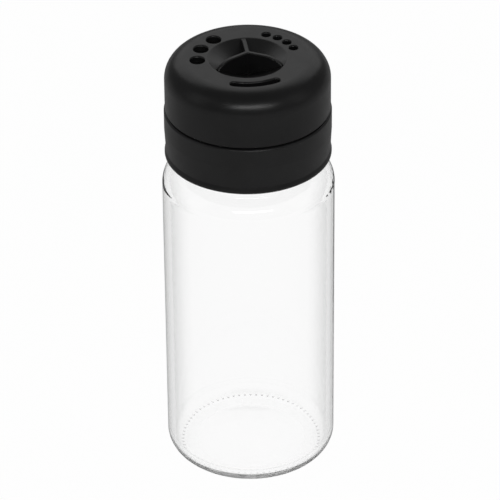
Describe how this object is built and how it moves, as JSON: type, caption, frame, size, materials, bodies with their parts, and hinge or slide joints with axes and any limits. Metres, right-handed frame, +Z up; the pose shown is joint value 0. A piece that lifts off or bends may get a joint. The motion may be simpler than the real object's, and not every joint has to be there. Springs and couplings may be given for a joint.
{
  "type": "spice shaker",
  "caption": "Glass spice jar with a black screw-on shaker head; a domed cap turns to bring round holes, fine holes or a curved slot over a shutter.",
  "frame": {"origin": "centre of the jar's base, on the surface it stands on", "axes": "+Z up along the jar's axis, the curved slot of the cap towards -Y, the three large holes towards -X"},
  "size_m": [0.05, 0.05, 0.1346],
  "materials": {
    "clear_glass": "polished",
    "gasket_white": "matte",
    "black_plastic": "satin",
    "cap_plastic": "satin",
    "inner_plastic": "satin",
    "steel": "satin"
  },
  "bodies": {
    "jar": {"glass_jar": "clear_glass"},
    "gasket": {"rim_gasket": "gasket_white"},
    "collar": {"screw_collar": "black_plastic", "shutter_disc": "inner_plastic"},
    "cap": {"turning_cap": "cap_plastic", "pivot_screw": "steel", "thrust_washer": "steel", "spring_washer": "steel"}
  },
  "joints": [
    {"name": "head_rise", "type": "slide", "parent": "jar", "child": "gasket", "axis": [0, 0, 1], "range_m": [0, 0.0064]},
    {"name": "collar_turn", "type": "hinge", "parent": "gasket", "child": "collar", "pos_m": [0, 0, 0.115], "axis": [0, 0, 1], "range_deg": [0, 720]},
    {"name": "cap_turn", "type": "hinge", "parent": "collar", "child": "cap", "pos_m": [0, 0, 0.1225], "axis": [0, 0, 1], "continuous": true}
  ],
  "couplings": [
    {"joint": "collar_turn", "follows": "head_rise", "rad_per_m": 1963.5}
  ]
}
